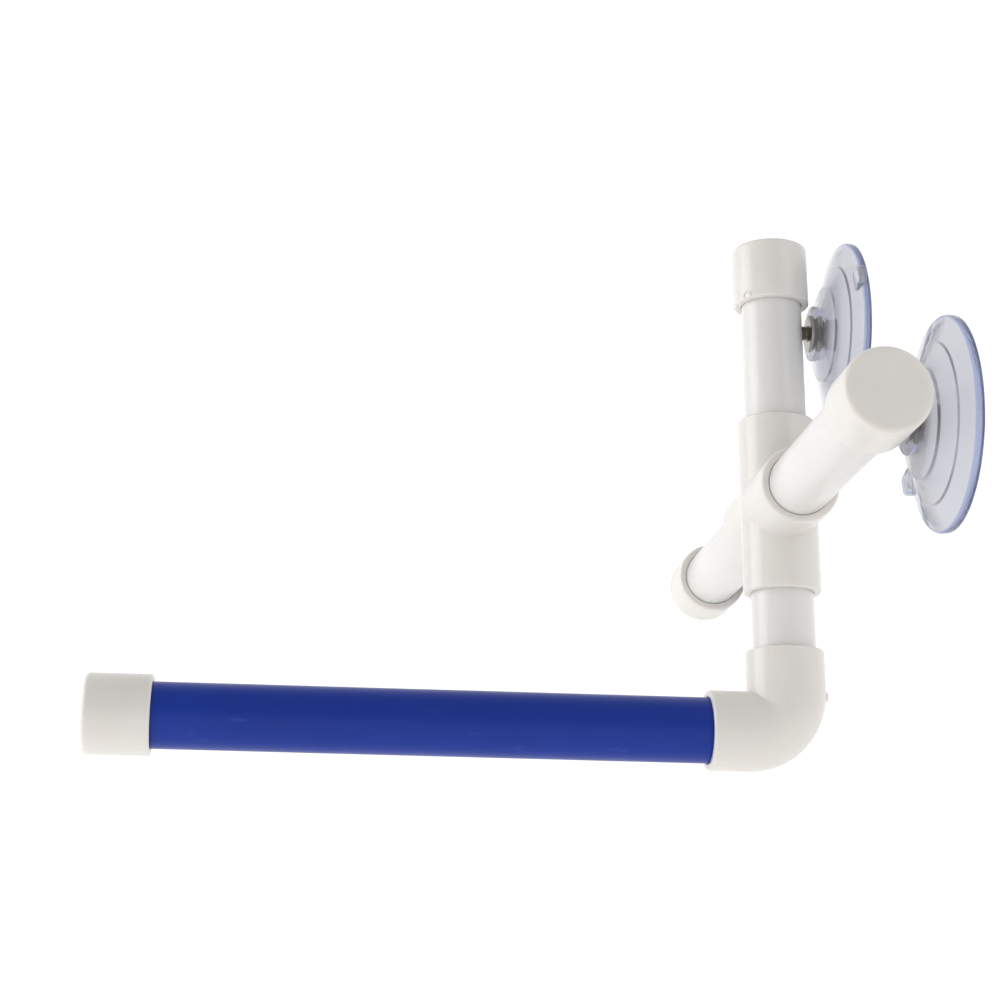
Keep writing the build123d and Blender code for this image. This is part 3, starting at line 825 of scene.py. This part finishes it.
def mergedMesh(name, node):
    # a copy of a plain solid with its loose triangles joined up
    mesh = node.data.copy()
    mesh.name = name
    weldMesh(mesh, joinWithin * mm, outward=False)
    keepGrain(mesh, 1 / mm)
    smoothMesh(mesh, 30)
    return mesh


for side, post, centre, tabAngle in (("top", "upper_post", (0, 0, upperMouth - cupInboard), 19.0),
                                     ("left", "left_arm", (cupInboard - armMouth, 0, 0), 108.0),
                                     ("right", "right_arm", (armMouth - cupInboard, 0, 0), 198.0)):
    onWall = placeAlong(centre, (0, -1, 0), (1, 0, 0))
    addPiece(f"{side}CupLooks", cupMesh(f"{side}CupLooks", onWall, tabAngle), f"{side}_sucker",
             f"{side}_cup", clearPvc)
    addPiece(f"{side}ScrewLooks", screwMesh(f"{side}ScrewLooks", onWall), f"{side}_sucker",
             f"{side}_screw", platedSteel)
    addPiece(f"{side}WasherLooks", washerMesh(f"{side}WasherLooks", onWall), f"{side}_feed_washer",
             f"{side}_washer", washerSteel)
    addPiece(f"{side}NutLooks", mergedMesh(f"{side}NutLooks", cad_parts[f"{side}_nut"]), post,
             f"{side}_nut", platedSteel)
print("cups, washers, screws and nuts made")


stage = {"floorHeight": -330.0, "floorSize": 6.0, "floorColour": "#f3f2f0", "floorGlow": 0.28}
mesh = bpy.data.meshes.new("floor")
size, height = stage["floorSize"], stage["floorHeight"] * mm
corners = [(-size, -size, height), (size, -size, height), (size, size, height), (-size, size, height)]
mesh.from_pydata(corners, [], [(0, 1, 2, 3)])
floor = bpy.data.objects.new("floor", mesh)
scene.collection.objects.link(floor)
floorFinish, tree = newFinish("paperSweep")
closeFinish(tree, addNode(tree, "ShaderNodeBsdfPrincipled", {
    "Base Color": linear(stage["floorColour"]), "Roughness": 0.8, "Emission Color": (1.0, 1.0, 1.0, 1.0),
    "Emission Strength": stage["floorGlow"]}))
mesh.materials.append(floorFinish)

# the light tent: an even glow, and brighter or dimmer sides as (direction, width, strength)
tent = {"even": 0.485, "sides": (((-1, 0, 0.2), 1.0, 0.6), ((0, 1, 0), 2.0, 0.5))}
world = bpy.data.worlds.new("lightTent")
scene.world = world
world.use_nodes = True
tree = world.node_tree
tree.nodes.clear()
direction = addNode(tree, "ShaderNodeTexCoord").outputs["Generated"]
glow = addNode(tree, "ShaderNodeValue").outputs[0]
glow.default_value = tent["even"]
for toSide, width, strength in tent["sides"]:
    facing = addNode(tree, "ShaderNodeVectorMath", {0: direction, 1: tuple(Vector(toSide).normalized())},
                     operation="DOT_PRODUCT")
    lit = addNode(tree, "ShaderNodeMath", {0: facing.outputs["Value"], 1: 0.0}, operation="MAXIMUM")
    shaped = addNode(tree, "ShaderNodeMath", {0: lit.outputs[0], 1: width}, operation="POWER")
    glow = addNode(tree, "ShaderNodeMath", {0: shaped.outputs[0], 1: strength, 2: glow},
                   operation="MULTIPLY_ADD").outputs[0]
surround = addNode(tree, "ShaderNodeBackground", {"Color": (1.0, 1.0, 1.0, 1.0), "Strength": glow})
addNode(tree, "ShaderNodeOutputWorld", {"Surface": surround.outputs[0]})


def addSoftbox(name, at, lookAt, wide, tall, power, colour):
    lamp = bpy.data.lights.new(name, "AREA")
    lamp.shape = "RECTANGLE"
    lamp.size, lamp.size_y = wide, tall
    lamp.energy = power
    lamp.color = linear(colour)[:3]
    holder = bpy.data.objects.new(name, lamp)
    scene.collection.objects.link(holder)
    holder.location = at
    holder.rotation_euler = (Vector(lookAt) - Vector(at)).to_track_quat("-Z", "Y").to_euler()
    holder.visible_transmission = False  # the clear cups show the backdrop, as the air beside them does
    return holder


softboxes = (
    ("leftSoftbox", (-0.12, -1.6, 0.2), (0, -0.05, 0), 1.04, 1.5, 12.2, "#ffffff"),
    ("frontSoftbox", (0.42, 0.33, 0.33), (0, -0.03, 0.03), 0.3, 0.4, 0.36, "#ffffff"),
)
for softbox in softboxes:
    addSoftbox(*softbox)

photoView = {"place": (0.62864, -0.18267, -0.16846), "azimuth": 85.8987, "elevation": -18.8009, "roll": 0.9684,
             "focalPx": 2010.07, "centrePx": (440.0, 360.0), "framePx": 1002.0}
a, e, r = (math.radians(photoView[k]) for k in ("azimuth", "elevation", "roll"))
back = Vector((math.sin(a) * math.cos(e), -math.cos(a) * math.cos(e), math.sin(e)))
right = Vector((math.cos(a), math.sin(a), 0))
above = back.cross(right)
rolledRight = right * math.cos(r) + above * math.sin(r)
rolledUp = above * math.cos(r) - right * math.sin(r)
lens = bpy.data.cameras.new("photoCamera")
lens.sensor_width = 36.0
lens.sensor_fit = "HORIZONTAL"
lens.lens = 36.0 * photoView["focalPx"] / photoView["framePx"]
lens.shift_x = (photoView["framePx"] / 2 - photoView["centrePx"][0]) / photoView["framePx"]
lens.shift_y = (photoView["centrePx"][1] - photoView["framePx"] / 2) / photoView["framePx"]
lens.clip_start = 0.01
camera = bpy.data.objects.new("photoCamera", lens)
scene.collection.objects.link(camera)
turn = Matrix((rolledRight, rolledUp, back)).transposed().to_4x4()
camera.matrix_world = Matrix.Translation(Vector(photoView["place"])) @ turn
scene.camera = camera
scene.view_settings.view_transform = "Standard"
scene.view_settings.look = "None"
print("floor, light and camera set")
